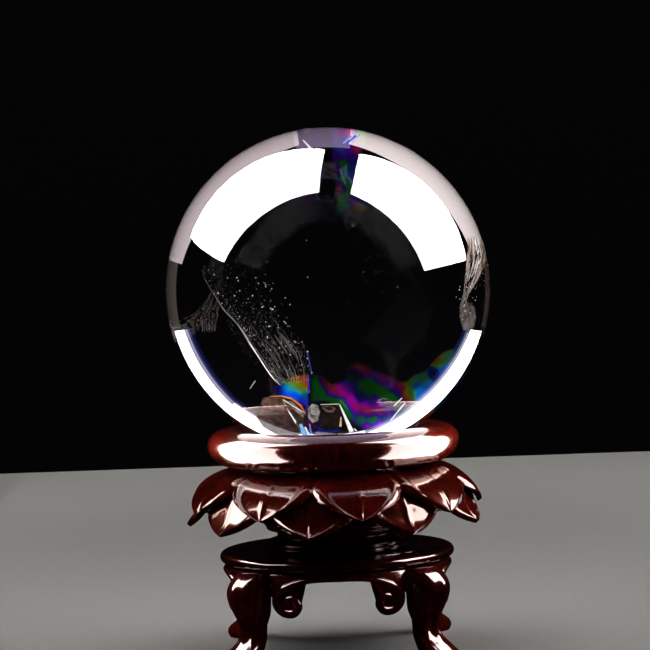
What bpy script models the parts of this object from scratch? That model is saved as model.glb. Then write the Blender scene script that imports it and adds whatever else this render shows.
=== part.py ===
"""Quartz sphere on a carved lotus stand.

A polished rock-crystal ball rests in the rolled ring at the top of a red-brown lacquered stand.
Under the ring come a collar of down-turned lotus petals, a narrow waist, a round board, four
cabriole legs with curled shoulders and the apron rails between them. Metres, +Z up, origin on
the table under the middle.
"""

import math

import bmesh
import bpy

# Driving sizes
GAP = 0.0003
BALL_RADIUS = 0.0400
RING_OUTER_RADIUS = 0.0311
RING_ROLL_RADIUS = 0.0052
RING_MIDDLE_Z = 0.0520
DISH_CLEARANCE = 0.0008

PETALS_PER_LAYER = 9
COLLAR_NECK_RADIUS = 0.0220
COLLAR_TIP_RADIUS = 0.0345
COLLAR_TIP_Z = 0.0320
COLLAR_BOTTOM_Z = 0.0329
COLLAR_BOTTOM_RADIUS = 0.0195
COLLAR_BULGE_HANDLES = ((0.0330, 0.0462), (0.0372, 0.0380))
COLLAR_UNDERSIDE = ((0.0312, 0.0368), (0.0255, 0.0372))
PETAL_VALLEY_DEPTH = 0.0015
UPPER_PETAL_RISE = 0.0007
VALLEY_REACH = 0.70
UPPER_TIP_REACH = 0.06
LOWER_TIP_REACH = 0.30

WAIST_END_RADIUS = 0.0178
WAIST_MIDDLE_RADIUS = 0.0145
WAIST_EDGE = 0.0009

BOARD_RADIUS = 0.0290
BOARD_TOP_Z = 0.0255
BOARD_THICKNESS = 0.0025

APRON_OUTER_RADIUS = 0.0278
APRON_INNER_RADIUS = 0.0238
APRON_ARCH_Z = 0.0212
CURL_BOTTOM_Z = 0.0138
CURL_LIFT = 0.0030
ARCH_HALF_ANGLE = math.radians(18.5)
CURL_ANGLE = math.radians(25.5)
EDGE_BEAD = 0.0006

LEG_HALF_WIDTH = 0.0043
FOOT_MIDDLE_RADIUS = 0.0338

# How finely the round forms are divided
BALL_SEGMENTS = 48
BALL_RINGS = 24
TURNED_STEPS = 48
COLUMNS_PER_PETAL = 6
PETAL_ROWS = 9
DISH_STEPS = 4
ROLL_STEPS = 10
HOLLOW_STEPS = 6
RAIL_COLUMNS = 8
SHOULDER_COLUMNS = 16
LEG_SIDES = 10

# Places worked out from the driving sizes
RING_MIDDLE_RADIUS = RING_OUTER_RADIUS - RING_ROLL_RADIUS
RING_BOTTOM_Z = RING_MIDDLE_Z - RING_ROLL_RADIUS
ROLL_TO_BALL = BALL_RADIUS + RING_ROLL_RADIUS + GAP
BALL_Z = RING_MIDDLE_Z + math.sqrt(ROLL_TO_BALL**2 - RING_MIDDLE_RADIUS**2)
COLLAR_TOP_Z = RING_BOTTOM_Z - GAP
WAIST_TOP_Z = COLLAR_BOTTOM_Z - GAP
WAIST_BOTTOM_Z = BOARD_TOP_Z + GAP
BOARD_BOTTOM_Z = BOARD_TOP_Z - BOARD_THICKNESS
LEG_TOP_Z = BOARD_BOTTOM_Z - GAP
LEG_SPACING = math.radians(90)
SHOULDER_HALF_ANGLE = LEG_SPACING / 2 - ARCH_HALF_ANGLE
RAIL_HALF_ANGLE = ARCH_HALF_ANGLE - GAP / APRON_INNER_RADIUS

LEG_PLACES = {
    "leg_back_right": 45,
    "leg_back_left": 135,
    "leg_front_left": 225,
    "leg_front_right": 315,
}
APRON_PLACES = {
    "apron_right": 0,
    "apron_back": 90,
    "apron_left": 180,
    "apron_front": 270,
}


def clear_scene():
    for obj in list(bpy.data.objects):
        bpy.data.objects.remove(obj, do_unlink=True)


def quartz_material():
    """Clear polished rock crystal."""
    material = bpy.data.materials.new("clear_quartz")
    material.use_nodes = True
    shader = material.node_tree.nodes["Principled BSDF"]
    shader.inputs["Base Color"].default_value = (0.97, 0.97, 0.98, 1)
    shader.inputs["Roughness"].default_value = 0.0
    shader.inputs["IOR"].default_value = 1.544
    shader.inputs["Transmission Weight"].default_value = 1.0
    return material


def wood_material(name, colour):
    """Carved rosewood under glossy lacquer."""
    material = bpy.data.materials.new(name)
    material.use_nodes = True
    shader = material.node_tree.nodes["Principled BSDF"]
    shader.inputs["Base Color"].default_value = (*colour, 1)
    shader.inputs["Roughness"].default_value = 0.18
    shader.inputs["Metallic"].default_value = 0.0
    return material


def finish_mesh(name, bm, material, sharp_degrees=35):
    """Turns a bmesh into a named object: doubles merged, faces outward, round parts smooth."""
    bmesh.ops.remove_doubles(bm, verts=bm.verts, dist=0.000005)
    bmesh.ops.recalc_face_normals(bm, faces=bm.faces)
    mesh = bpy.data.meshes.new(name)
    bm.to_mesh(mesh)
    bm.free()
    mesh.shade_smooth()
    mesh.set_sharp_from_angle(angle=math.radians(sharp_degrees))
    mesh.materials.append(material)
    obj = bpy.data.objects.new(name, mesh)
    bpy.context.scene.collection.objects.link(obj)
    return obj


def turned(name, profile, material):
    """Spins a profile of (radius, height) points, both ends on the axis, round Z."""
    bm = bmesh.new()
    points = [bm.verts.new((radius, 0, height)) for radius, height in profile]
    edges = [bm.edges.new(pair) for pair in zip(points, points[1:])]
    bmesh.ops.spin(
        bm,
        geom=points + edges,
        axis=(0, 0, 1),
        cent=(0, 0, 0),
        angle=math.tau,
        steps=TURNED_STEPS,
        use_merge=True,
    )
    return finish_mesh(name, bm, material)


def lofted(name, rings, material):
    """Skins a row of closed rings with the same number of points and caps both ends."""
    bm = bmesh.new()
    rows = [[bm.verts.new(point) for point in ring] for ring in rings]
    count = len(rows[0])
    for lower, upper in zip(rows, rows[1:]):
        for i in range(count):
            j = (i + 1) % count
            bm.faces.new((lower[i], lower[j], upper[j], upper[i]))
    bm.faces.new(rows[0])
    bm.faces.new(rows[-1])
    return finish_mesh(name, bm, material)


def bezier(points, s):
    """Point at s along the cubic curve through these four (radius, height) handles."""
    a, b, c, d = points
    t = 1 - s
    weights = (t**3, 3 * t * t * s, 3 * t * s * s, s**3)
    return tuple(sum(w * p[k] for w, p in zip(weights, (a, b, c, d))) for k in range(2))


def make_sphere(material):
    """The polished ball, one solid."""
    bm = bmesh.new()
    bmesh.ops.create_uvsphere(bm, u_segments=BALL_SEGMENTS, v_segments=BALL_RINGS, radius=BALL_RADIUS)
    obj = finish_mesh("quartz_sphere", bm, material, sharp_degrees=60)
    obj.location = (0, 0, BALL_Z)
    return obj


def make_ring_seat(material):
    """A fat roll round a shallow dish: the ball bears on the roll's inner side."""
    dish_radius = BALL_RADIUS + DISH_CLEARANCE
    lean = math.asin(RING_MIDDLE_RADIUS / ROLL_TO_BALL)
    along = (dish_radius**2 + ROLL_TO_BALL**2 - RING_ROLL_RADIUS**2) / (2 * dish_radius * ROLL_TO_BALL)
    dish_end = lean - math.acos(min(1.0, along))
    profile = []
    for i in range(DISH_STEPS + 1):
        angle = dish_end * i / DISH_STEPS
        profile.append((dish_radius * math.sin(angle), BALL_Z - dish_radius * math.cos(angle)))
    end_radius, end_z = profile[-1]
    start = math.atan2(end_z - RING_MIDDLE_Z, end_radius - RING_MIDDLE_RADIUS)
    stop = -math.pi / 2
    if start < 0:
        start += math.tau
    for i in range(1, ROLL_STEPS + 1):
        angle = start + (stop - start) * i / ROLL_STEPS
        profile.append(
            (
                RING_MIDDLE_RADIUS + RING_ROLL_RADIUS * math.cos(angle),
                RING_MIDDLE_Z + RING_ROLL_RADIUS * math.sin(angle),
            )
        )
    profile.append((0, RING_BOTTOM_Z))
    return turned("ring_seat", profile, material)


def collar_point(angle, row):
    """One point of the petals' upper face. Nine upper petals alternate with nine lower ones:
    a crest runs down each, and the rim drops to a point at each tip."""
    pitch = math.tau / (2 * PETALS_PER_LAYER)
    place = angle / pitch
    index = round(place)
    across = abs(place - index) * 2
    upper = index % 2 == 0
    crest = math.cos(across * math.pi / 2) ** 0.8
    tip = (1 - across) ** 0.85
    reach = VALLEY_REACH + (UPPER_TIP_REACH if upper else LOWER_TIP_REACH) * tip
    s = reach * row / PETAL_ROWS
    neck = (COLLAR_NECK_RADIUS, COLLAR_TOP_Z)
    radius, height = bezier((neck, *COLLAR_BULGE_HANDLES, (COLLAR_TIP_RADIUS, COLLAR_TIP_Z)), s)
    grow = min(1.0, 3 * row / PETAL_ROWS)
    radius -= PETAL_VALLEY_DEPTH * (1 - crest) * grow
    if upper:
        radius += UPPER_PETAL_RISE * crest * grow
    return (radius * math.cos(angle), radius * math.sin(angle), height)


def ring_at(radius, height, count):
    step = math.tau / count
    return [(radius * math.cos(i * step), radius * math.sin(i * step), height) for i in range(count)]


def make_lotus_collar(material):
    """Two layers of down-turned petals carved from one round, hollowed a little below."""
    count = 2 * PETALS_PER_LAYER * COLUMNS_PER_PETAL
    angles = [i * math.tau / count for i in range(count)]
    rings = [[collar_point(angle, row) for angle in angles] for row in range(PETAL_ROWS + 1)]
    rings += [ring_at(radius, height, count) for radius, height in COLLAR_UNDERSIDE]
    rings.append(ring_at(COLLAR_BOTTOM_RADIUS, COLLAR_BOTTOM_Z, count))
    return lofted("lotus_collar", rings, material)


def make_waist(material):
    """A short turned neck, hollow-moulded between two square edges."""
    low = WAIST_BOTTOM_Z + WAIST_EDGE
    high = WAIST_TOP_Z - WAIST_EDGE
    profile = [(0, WAIST_BOTTOM_Z), (WAIST_END_RADIUS, WAIST_BOTTOM_Z), (WAIST_END_RADIUS, low)]
    for i in range(1, HOLLOW_STEPS):
        s = i / HOLLOW_STEPS
        radius = WAIST_END_RADIUS - (WAIST_END_RADIUS - WAIST_MIDDLE_RADIUS) * math.sin(math.pi * s)
        profile.append((radius, low + (high - low) * s))
    profile += [(WAIST_END_RADIUS, high), (WAIST_END_RADIUS, WAIST_TOP_Z), (0, WAIST_TOP_Z)]
    return turned("waist", profile, material)


def make_board(material):
    """The round board that the waist stands on, with a half-round edge."""
    half = BOARD_THICKNESS / 2
    middle = BOARD_RADIUS - half
    profile = [(0, BOARD_BOTTOM_Z)]
    for i in range(7):
        angle = -math.pi / 2 + math.pi * i / 6
        profile.append((middle + half * math.cos(angle), BOARD_BOTTOM_Z + half + half * math.sin(angle)))
    profile.append((0, BOARD_TOP_Z))
    return turned("shoulder_board", profile, material)


def band(name, middle, half_angle, columns, lower_edge, material):
    """A curved board with a small bead along its lower edge, whose height is lower_edge(angle)."""
    rings = []
    for i in range(columns + 1):
        angle = half_angle * (2 * i / columns - 1)
        low = lower_edge(angle)
        section = (
            (APRON_INNER_RADIUS, LEG_TOP_Z),
            (APRON_OUTER_RADIUS, LEG_TOP_Z),
            (APRON_OUTER_RADIUS, low + EDGE_BEAD),
            (APRON_OUTER_RADIUS - EDGE_BEAD, low),
            (APRON_INNER_RADIUS, low),
        )
        x, y = math.cos(middle + angle), math.sin(middle + angle)
        rings.append([(radius * x, radius * y, height) for radius, height in section])
    return lofted(name, rings, material)


def make_apron_rail(name, degrees, material):
    """The thin rail at the top of the arch between two legs."""
    turn = math.radians(degrees)
    return band(name, turn, RAIL_HALF_ANGLE, RAIL_COLUMNS, lambda angle: APRON_ARCH_Z, material)


def shoulder_edge(angle):
    """Lower edge of a leg's shoulder: level beside the leg, down into a curl, then up to the arch."""
    away = LEG_SPACING / 2 - abs(angle)
    if away <= CURL_ANGLE:
        s = (away - ARCH_HALF_ANGLE) / (CURL_ANGLE - ARCH_HALF_ANGLE)
        return APRON_ARCH_Z - (APRON_ARCH_Z - CURL_BOTTOM_Z) * (1 - math.sqrt(max(0.0, 1 - s * s)))
    s = (away - CURL_ANGLE) / (LEG_SPACING / 2 - CURL_ANGLE)
    return CURL_BOTTOM_Z + CURL_LIFT * min(1.0, 4 * s * s)


# Leg sections from top to foot: radius of the middle, height, half depth and half width
LEG_SECTIONS = (
    (0.0278, LEG_TOP_Z, 0.0040, LEG_HALF_WIDTH),
    (0.0293, 0.0212, 0.0046, LEG_HALF_WIDTH),
    (0.0306, 0.0190, 0.0050, LEG_HALF_WIDTH),
    (0.0309, 0.0165, 0.0046, LEG_HALF_WIDTH),
    (0.0303, 0.0138, 0.0039, 0.0040),
    (0.0295, 0.0110, 0.0032, 0.0035),
    (0.0292, 0.0085, 0.0029, 0.0032),
    (0.0299, 0.0062, 0.0033, 0.0034),
    (0.0318, 0.0042, 0.0043, 0.0038),
    (0.0334, 0.0026, 0.0050, 0.0041),
    (FOOT_MIDDLE_RADIUS, 0.0012, 0.0050, 0.0042),
    (FOOT_MIDDLE_RADIUS, 0.0, 0.0044, 0.0038),
)


def make_leg(name, degrees, material):
    """A cabriole leg: out at the knee, in at the ankle, out again to a flat foot. Its curled
    shoulders are a band joined to it under the board."""
    turn = math.radians(degrees)
    outward = (math.cos(turn), math.sin(turn))
    sideways = (-outward[1], outward[0])
    rings = []
    for radius, height, half_depth, half_width in LEG_SECTIONS:
        ring = []
        for i in range(LEG_SIDES):
            around = math.tau * i / LEG_SIDES
            out = radius + half_depth * math.cos(around)
            side = half_width * math.sin(around)
            x = outward[0] * out + sideways[0] * side
            y = outward[1] * out + sideways[1] * side
            ring.append((x, y, height))
        rings.append(ring)
    leg = lofted(name, rings, material)
    guide = name + "_shoulders"
    shoulders = band(guide, turn, SHOULDER_HALF_ANGLE, SHOULDER_COLUMNS, shoulder_edge, material)
    shoulders.hide_render = True
    shoulders.display_type = "WIRE"
    join = leg.modifiers.new("shoulders", "BOOLEAN")
    join.operation = "UNION"
    join.object = shoulders
    return leg


def main():
    clear_scene()
    quartz = quartz_material()
    lacquer = wood_material("lacquered_rosewood", (0.16, 0.022, 0.012))
    dark_lacquer = wood_material("dark_lacquered_rosewood", (0.06, 0.012, 0.008))
    make_sphere(quartz)
    make_ring_seat(lacquer)
    make_lotus_collar(lacquer)
    make_waist(dark_lacquer)
    make_board(dark_lacquer)
    for name, degrees in APRON_PLACES.items():
        make_apron_rail(name, degrees, lacquer)
    for name, degrees in LEG_PLACES.items():
        make_leg(name, degrees, lacquer)


main()
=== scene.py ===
"""Looks for a quartz sphere on its carved lotus stand.

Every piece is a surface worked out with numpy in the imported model's frame: metres, +Z up, the
origin on the table under the middle of the stand, -Y towards the viewer.
"""

import math

import bmesh
import bpy
import numpy as np
from mathutils import Matrix, Vector


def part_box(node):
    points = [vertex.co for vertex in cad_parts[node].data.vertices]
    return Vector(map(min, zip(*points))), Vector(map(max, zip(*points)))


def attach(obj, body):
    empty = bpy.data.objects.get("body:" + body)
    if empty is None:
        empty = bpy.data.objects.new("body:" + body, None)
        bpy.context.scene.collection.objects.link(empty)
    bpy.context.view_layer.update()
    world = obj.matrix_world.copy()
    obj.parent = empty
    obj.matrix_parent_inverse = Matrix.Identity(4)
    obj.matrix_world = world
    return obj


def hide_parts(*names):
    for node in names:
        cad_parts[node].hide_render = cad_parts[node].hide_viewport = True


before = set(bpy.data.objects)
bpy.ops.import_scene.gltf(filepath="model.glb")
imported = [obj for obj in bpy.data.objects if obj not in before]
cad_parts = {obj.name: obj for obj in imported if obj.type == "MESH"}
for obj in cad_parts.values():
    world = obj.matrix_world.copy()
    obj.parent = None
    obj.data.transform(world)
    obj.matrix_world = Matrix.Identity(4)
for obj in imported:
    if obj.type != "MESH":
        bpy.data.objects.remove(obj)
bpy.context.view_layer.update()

bl_info = {
    "name": "Quartz Sphere on a Lotus Stand",
    "version": (1, 0, 0),
    "blender": (4, 5, 0),
    "location": "3D View > Sidebar > Quartz Sphere",
    "description": "Builds a rock-crystal ball with its inclusions, its carved stand and the stage",
    "category": "Add Mesh",
}

MM = 0.001
BODY = "root"
# Points of a mesh nearer than this are welded into one
WELD = 0.2e-6


def lowest(node):
    """Lowest corner of a CAD node's box."""
    return np.array(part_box(node)[0])


def highest(node):
    """Highest corner of a CAD node's box."""
    return np.array(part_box(node)[1])


# Places read from the frame
BALL_RADIUS = float(highest("quartz_sphere")[2] - lowest("quartz_sphere")[2]) / 2
BALL_CENTRE = np.array([0, 0, float(highest("quartz_sphere")[2]) - BALL_RADIUS])
RING_OUTER = float(highest("ring_seat")[0])
RING_BOTTOM = float(lowest("ring_seat")[2])
COLLAR_TOP = float(highest("lotus_collar")[2])
WAIST_TOP = float(highest("waist")[2])
WAIST_BOTTOM = float(lowest("waist")[2])
WAIST_RADIUS = float(highest("waist")[0])
BOARD_TOP = float(highest("shoulder_board")[2])
BOARD_BOTTOM = float(lowest("shoulder_board")[2])
BOARD_RADIUS = float(highest("shoulder_board")[0])
APRON_TOP = float(highest("apron_front")[2])
ARCH_Z = float(lowest("apron_front")[2])
APRON_RADIUS = float(-lowest("apron_front")[1])

# The photograph's view, in pixels of its 650 by 650 frame
IMAGE_MIDDLE = 325.0
FOCAL_PIXELS = 2469.0
BALL_PIXEL = (327.9, 289.4)
CAMERA_DISTANCE = 0.61
CAMERA_RISE = 0.0157
CAMERA_ROLL = math.radians(2.0)
SENSOR_MM = 36.0
QUARTZ_IOR = 1.544


def linear(hex_colour):
    """An sRGB hex colour as linear red, green and blue."""
    parts = [int(hex_colour[i : i + 2], 16) / 255 for i in (1, 3, 5)]
    return tuple(c / 12.92 if c <= 0.04045 else ((c + 0.055) / 1.055) ** 2.4 for c in parts)


def rgba(hex_colour):
    """The same with a full alpha, as an array."""
    return np.array([*linear(hex_colour), 1.0])


class QuartzSphereSettings(bpy.types.PropertyGroup):
    """Sizes and colours of the ball and what lies inside it."""

    # Strength of the light that the flecks, cracks, mist and films emit: a painted glow, not light caught
    # from the lamps
    inclusion_glow: bpy.props.FloatProperty(
        name="Inclusion glow",
        description="How strongly the flecks and cracks catch light",
        default=1.0,
        min=0.0,
        max=5.0,
    )
    fleck_count: bpy.props.IntProperty(
        name="Flecks",
        description="Number of bright flecks in the veil",
        default=1500,
        min=100,
        max=6000,
    )
    # Colour that the veil's mist emits: the cracks' grey-white tone, given as painted light
    veil_colour: bpy.props.FloatVectorProperty(
        name="Veil",
        description="Colour of the healed cracks",
        subtype="COLOR",
        default=linear("#E8E6E4"),
    )


class LotusStandSettings(bpy.types.PropertyGroup):
    """Sizes and colours of the carved stand."""

    roll_radius: bpy.props.FloatProperty(
        name="Roll",
        description="Radius of the ring's round edge",
        default=5.2 * MM,
        unit="LENGTH",
    )
    petals_per_layer: bpy.props.IntProperty(
        name="Petals per layer",
        description="Petals in each of the two layers",
        default=9,
        min=5,
        max=16,
    )
    petal_thickness: bpy.props.FloatProperty(
        name="Petal thickness",
        description="Thickness of a petal along its middle",
        default=1.5 * MM,
        unit="LENGTH",
    )
    lacquer_dark: bpy.props.FloatVectorProperty(
        name="Dark grain",
        description="Colour of the wood's dark grain under the lacquer",
        subtype="COLOR",
        default=linear("#140403"),
    )
    lacquer_light: bpy.props.FloatVectorProperty(
        name="Light grain",
        description="Colour of the wood's light grain under the lacquer",
        subtype="COLOR",
        default=linear("#48100A"),
    )


class StageSettings(bpy.types.PropertyGroup):
    """Floor and light."""

    floor_colour: bpy.props.FloatVectorProperty(
        name="Floor",
        description="Colour of the pale floor",
        subtype="COLOR",
        default=linear("#D8D5D0"),
    )
    box_radiance: bpy.props.FloatProperty(
        name="Soft box glare",
        description="Brightness of the soft boxes as the ball and the lacquer mirror them",
        default=30.0,
        min=0.0,
    )
    fill_radiance: bpy.props.FloatProperty(
        name="Soft box light",
        description="Brightness of the soft boxes as they light the floor and the wood",
        default=7.0,
        min=0.0,
    )


# Materials


def add(tree, kind, inputs=None, **settings):
    """Adds a shader node, sets its properties, and sets or links its inputs by name or number."""
    node = tree.nodes.new("ShaderNode" + kind)
    for name, value in settings.items():
        setattr(node, name, value)
    for name, value in (inputs or {}).items():
        if isinstance(value, bpy.types.NodeSocket):
            tree.links.new(value, node.inputs[name])
        else:
            node.inputs[name].default_value = value
    return node


def ramp(tree, factor, stops):
    """A colour ramp of (place, linear colour) stops, read at factor."""
    node = add(tree, "ValToRGB", {"Fac": factor})
    elements = node.color_ramp.elements
    while len(elements) > 1:
        elements.remove(elements[-1])
    elements[0].position, elements[0].color = stops[0][0], (*stops[0][1], 1)
    for place, colour in stops[1:]:
        elements.new(place).color = (*colour, 1)
    return node.outputs["Color"]


def lumps(millimetres):
    """Scale of a noise whose lumps are this wide: it has two of them to a unit."""
    return 0.5 / (millimetres * MM)


def new_material(name):
    """An empty material and its node tree."""
    material = bpy.data.materials.new(name)
    material.use_nodes = True
    material.node_tree.nodes.clear()
    return material, material.node_tree


def finished(material, surface, volume=None):
    """The material with its surface, and its volume if it has one, linked to its output."""
    inputs = {"Surface": surface}
    if volume:
        inputs["Volume"] = volume
    add(material.node_tree, "OutputMaterial", inputs)
    return material


def polished_quartz():
    """Rock crystal, ground and polished to a mirror: clear all through, with hard white reflections."""
    material, tree = new_material("polished_rock_crystal")
    shader = add(
        tree,
        "BsdfPrincipled",
        {
            "Base Color": rgba("#FDFDFF"),
            "Roughness": 0.0,
            "IOR": QUARTZ_IOR,
            "Transmission Weight": 1.0,
        },
    )
    absorption = add(tree, "VolumeAbsorption", {"Color": rgba("#F4F6FA"), "Density": 1.5})
    return finished(material, shader.outputs["BSDF"], absorption.outputs["Volume"])


def lacquered_wood(name, dark, light):
    """Carved rosewood under clear brushed lacquer: dark grain with red in it, sharp white highlights."""
    material, tree = new_material(name)
    place = add(tree, "TexCoord").outputs["Object"]
    along_grain = add(tree, "Mapping", {"Vector": place, "Scale": (1.0, 1.0, 0.22)}).outputs["Vector"]
    streaks = {"Vector": along_grain, "Scale": lumps(1.1), "Detail": 6.0, "Distortion": 1.2}
    grain = add(tree, "TexNoise", streaks)
    patches = add(tree, "TexNoise", {"Vector": place, "Scale": lumps(5.56), "Detail": 2.0})
    mixed = add(tree, "Math", {0: grain.outputs["Fac"], 1: patches.outputs["Fac"]}, operation="MULTIPLY")
    colour = ramp(tree, mixed.outputs[0], [(0.12, dark), (0.42, light)])
    pores = add(tree, "TexNoise", {"Vector": along_grain, "Scale": lumps(0.35), "Detail": 3.0})
    ripples = add(tree, "TexNoise", {"Vector": place, "Scale": lumps(1.92), "Detail": 1.0})
    heights = {0: pores.outputs["Fac"], 1: 0.25, 2: ripples.outputs["Fac"]}
    relief = add(tree, "Math", heights, operation="MULTIPLY_ADD")
    bump = add(tree, "Bump", {"Height": relief.outputs[0], "Strength": 0.22, "Distance": 0.0002})
    gloss = add(tree, "MapRange", {"Value": pores.outputs["Fac"], "To Min": 0.15, "To Max": 0.27})
    shader = add(
        tree,
        "BsdfPrincipled",
        {
            "Base Color": colour,
            "Roughness": gloss.outputs["Result"],
            "Specular IOR Level": 0.12,
            "Specular Tint": rgba("#FF4416"),
            "Normal": bump.outputs["Normal"],
            "Coat Weight": 1.0,
            "Coat Roughness": 0.09,
            "Coat IOR": 1.45,
            "Coat Tint": rgba("#FFC8B0"),
        },
    )
    return finished(material, shader.outputs["BSDF"])


def floor_paper(colour):
    """Matt pale card: no gloss, a faint fibre mottling."""
    material, tree = new_material("pale_matt_card")
    place = add(tree, "TexCoord").outputs["Object"]
    fibres = add(tree, "TexNoise", {"Vector": place, "Scale": lumps(0.714), "Detail": 4.0})
    darker = tuple(c * 0.94 for c in colour)
    shade = ramp(tree, fibres.outputs["Fac"], [(0.35, darker), (0.65, colour)])
    shader = add(tree, "BsdfPrincipled", {"Base Color": shade, "Roughness": 0.9, "Specular IOR Level": 0.1})
    return finished(material, shader.outputs["BSDF"])


# Mesh building


def grid_faces(rows, columns, wrap):
    """Quads between neighbouring points of a rows by columns grid, numbered row by row."""
    row = np.arange(rows - 1)[:, None]
    column = np.arange(columns if wrap else columns - 1)[None, :]
    after = (column + 1) % columns
    corners = (row * columns + column, row * columns + after)
    quads = np.stack([corners[0], corners[1], corners[1] + columns, corners[0] + columns], axis=-1)
    return quads.reshape(-1, 4)


def merged(parts):
    """Joins (points, quads) arrays into one pair."""
    points, faces, start = [], [], 0
    for part_points, part_faces in parts:
        flat = np.asarray(part_points).reshape(-1, 3)
        points.append(flat)
        faces.append(part_faces + start)
        start += len(flat)
    return np.concatenate(points), np.concatenate(faces)


def make_piece(name, points, faces, material, slot, replaced=(), smooth=True, values=None):
    """Puts arrays of points and quads into a mesh, with named values at its points, welds poles and
    seams, and rides it on the body."""
    mesh = bpy.data.meshes.new(name)
    mesh.from_pydata(np.asarray(points).reshape(-1, 3), [], np.asarray(faces))
    for label, data in (values or {}).items():
        data = np.asarray(data, np.float32)
        kind, field = ("FLOAT_COLOR", "color") if data.shape[-1] == 4 else ("FLOAT", "value")
        mesh.attributes.new(label, kind, "POINT").data.foreach_set(field, data.ravel())
    bm = bmesh.new()
    bm.from_mesh(mesh)
    bmesh.ops.remove_doubles(bm, verts=bm.verts, dist=WELD)
    bmesh.ops.dissolve_degenerate(bm, edges=bm.edges, dist=WELD / 2)
    bmesh.ops.recalc_face_normals(bm, faces=bm.faces)
    bm.to_mesh(mesh)
    bm.free()
    if smooth:
        mesh.shade_smooth()
        mesh.set_sharp_from_angle(angle=math.radians(50))
    mesh.materials.append(material)
    piece = bpy.data.objects.new(name, mesh)
    bpy.context.scene.collection.objects.link(piece)
    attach(piece, BODY)
    if replaced:
        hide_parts(*replaced)
    return piece


def turned(profile, columns):
    """Carries a profile of (radius, height) rows round Z: x = r cos a, y = r sin a, z = height."""
    profile = np.asarray(profile, float)
    angle = np.linspace(0, math.tau, columns, endpoint=False)
    x = profile[:, :1] * np.cos(angle)
    y = profile[:, :1] * np.sin(angle)
    z = np.repeat(profile[:, 1:2], columns, axis=1)
    return np.stack([x, y, z], axis=-1), grid_faces(len(profile), columns, True)


def arc(centre, radius, start, stop, steps):
    """Points on a circle from one angle in degrees to another, as (radius, height) rows."""
    angle = np.radians(np.linspace(start, stop, steps))
    return np.stack([centre[0] + radius * np.cos(angle), centre[1] + radius * np.sin(angle)], axis=1)


def curve_at(rows, share):
    """A Catmull-Rom curve through the rows of a table, read at shares from 0 to 1 of its rows."""
    rows = np.asarray(rows, float)
    padded = np.concatenate([[2 * rows[0] - rows[1]], rows, [2 * rows[-1] - rows[-2]]])
    place = np.asarray(share) * (len(rows) - 1)
    index = np.clip(place.astype(int), 0, len(rows) - 2)
    t = (place - index)[..., None]
    a, b, c, d = (padded[index + k] for k in range(4))
    square, cube = 2 * a - 5 * b + 4 * c - d, 3 * b - a - 3 * c + d
    return 0.5 * (2 * b + (c - a) * t + square * t**2 + cube * t**3)


def smooth_rows(rows, count):
    """The same curve, evenly read at count places."""
    return curve_at(rows, np.linspace(0, 1, count))


def tube(path, radii, sides):
    """A round tube along a path: each ring is perpendicular to the path, turned by a frame that
    starts from the upright and leans with the path. Both ends close to a point."""
    path = np.asarray(path, float)
    radii = np.broadcast_to(radii, len(path)).astype(float)
    along = np.gradient(path, axis=0)
    along /= np.linalg.norm(along, axis=1, keepdims=True)
    outward = path - BALL_CENTRE * [1, 1, 0]
    outward[:, 2] = 0
    outward /= np.maximum(np.linalg.norm(outward, axis=1, keepdims=True), 1e-9)
    across = np.cross(along, outward)
    across /= np.maximum(np.linalg.norm(across, axis=1, keepdims=True), 1e-9)
    outward = np.cross(across, along)
    angle = np.linspace(0, math.tau, sides, endpoint=False)
    ring = across[:, None] * np.cos(angle)[None, :, None]
    ring = ring + outward[:, None] * np.sin(angle)[None, :, None]
    points = path[:, None] + ring * radii[:, None, None]
    points = np.concatenate([path[None, :1].repeat(sides, 1), points, path[None, -1:].repeat(sides, 1)])
    return points, grid_faces(len(points), sides, True)


# The photograph's camera and rays through the ball


def camera_axes():
    """Camera place and its right, up and back axes: it looks at the ball, is rolled by a small
    angle, and then turned so that the ball's middle falls on its pixel."""
    back = math.sqrt(CAMERA_DISTANCE**2 - CAMERA_RISE**2)
    place = Vector(BALL_CENTRE) + Vector((0, -back, CAMERA_RISE))
    look = (Vector(BALL_CENTRE) - place).normalized()
    right = look.cross(Vector((0, 0, 1))).normalized()
    up = right.cross(look)
    rolled_right = right * math.cos(CAMERA_ROLL) - up * math.sin(CAMERA_ROLL)
    rolled_up = up * math.cos(CAMERA_ROLL) + right * math.sin(CAMERA_ROLL)
    axes = Matrix((rolled_right, rolled_up, -look)).transposed()
    offset = (BALL_PIXEL[0] - IMAGE_MIDDLE, IMAGE_MIDDLE - BALL_PIXEL[1], -FOCAL_PIXELS)
    aim = Vector(offset).normalized()
    turn = aim.rotation_difference(Vector((0, 0, -1))).to_matrix()
    return place, axes @ turn


CAMERA_PLACE, CAMERA_TURN = camera_axes()


def pixel_rays(pixels):
    """Unit directions of the rays through an array of (x, y) pixels."""
    pixels = np.asarray(pixels, float)
    right, up = pixels[..., 0] - IMAGE_MIDDLE, IMAGE_MIDDLE - pixels[..., 1]
    local = np.stack([right, up, np.full(right.shape, -FOCAL_PIXELS)], axis=-1)
    rays = local @ np.array(CAMERA_TURN).T
    return rays / np.linalg.norm(rays, axis=-1, keepdims=True)


def inside_ball(pixels, behind):
    """Points inside the ball that show at these pixels. The ray meets the front of the ball, bends
    by Snell's law, and is followed to the plane that lies behind the ball's middle by this much."""
    rays = pixel_rays(pixels)
    start = np.array(CAMERA_PLACE) - BALL_CENTRE
    towards = rays @ start
    under = np.maximum(towards**2 - (start @ start - BALL_RADIUS**2), 0)
    entry = start + rays * (-towards - np.sqrt(under))[..., None]
    normal = entry / np.linalg.norm(entry, axis=-1, keepdims=True)
    cosine = -np.sum(rays * normal, axis=-1)
    ratio = 1 / QUARTZ_IOR
    bent = rays * ratio + normal * (ratio * cosine - np.sqrt(1 - ratio**2 * (1 - cosine**2)))[..., None]
    axis = -start / np.linalg.norm(start)
    reach = (np.asarray(behind) - entry @ axis) / (bent @ axis)
    return BALL_CENTRE + entry + bent * reach[..., None]


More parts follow.
